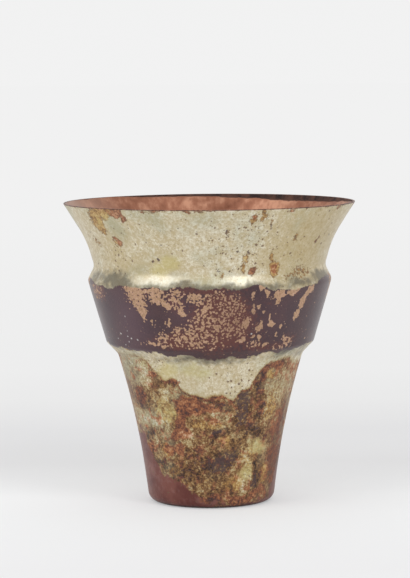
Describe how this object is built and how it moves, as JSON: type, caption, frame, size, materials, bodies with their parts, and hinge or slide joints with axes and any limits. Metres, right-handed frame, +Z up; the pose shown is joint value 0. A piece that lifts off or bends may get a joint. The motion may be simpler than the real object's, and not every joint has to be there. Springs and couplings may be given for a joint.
{
  "type": "flared copper beaker",
  "caption": "Flared sheet copper beaker vase with one proud belt, open mouth, tapered body and flat standing ring.",
  "frame": {"origin": "centre of the ring that the vessel stands on, on the floor plane", "axes": "+Z up along the axis of revolution; +X and +Y are level, and the pictured side faces -Y"},
  "size_m": [0.1598, 0.1596, 0.1647],
  "materials": {
    "silvered_copper": "hammered sheet copper, pale silvery deposit outside with green, ochre and rust patina, bare copper inside",
    "aubergine_copper": "satin aubergine brown patina with flaked tan patches",
    "bare_copper": "satin copper",
    "solder": "dull grey soft solder, toned over where it shows"
  },
  "bodies": {
    "root": {"mouth_shell": "silvered_copper", "body_shell": "silvered_copper", "belt_hoop": "aubergine_copper", "base_disc": "bare_copper", "lap_solder": "solder", "neck_solder": "solder", "foot_solder": "solder", "base_solder": "solder"}
  },
  "joints": []
}
